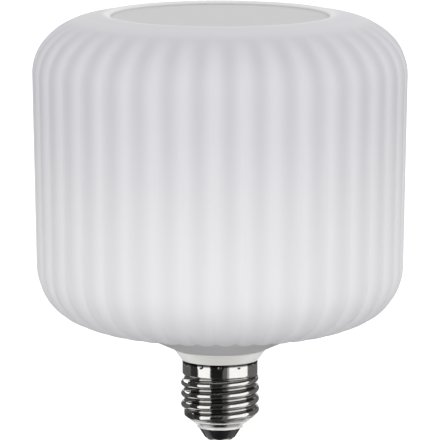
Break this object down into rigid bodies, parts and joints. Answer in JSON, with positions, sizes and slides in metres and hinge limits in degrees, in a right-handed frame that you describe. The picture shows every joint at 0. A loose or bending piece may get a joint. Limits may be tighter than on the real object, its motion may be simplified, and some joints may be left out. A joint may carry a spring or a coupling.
{
  "type": "led globe bulb",
  "caption": "Frosted glass lamp with a fluted drum-shaped envelope, sunk top disc, pale collar and an E27 screw cap with centre contact.",
  "frame": {"origin": "tip of the centre contact, on the lamp's axis, where the cap seats in a lamp holder", "axes": "+Z is the lamp's axis, from the cap up to the sunk disc on top of the drum; X and Y lie level, with the picture's front facing -Y"},
  "size_m": [0.1249, 0.1249, 0.1439],
  "materials": {
    "frosted_glass": "frosted white, satin",
    "collar_plastic": "smooth off-white",
    "plated_shell": "bright nickel plate",
    "black_insulator": "black, glossy",
    "contact_metal": "tinned"
  },
  "bodies": {
    "root": {"glass_drum": "frosted_glass", "collar": "collar_plastic", "screw_shell": "plated_shell", "insulator": "black_insulator", "centre_contact": "contact_metal"}
  },
  "joints": []
}
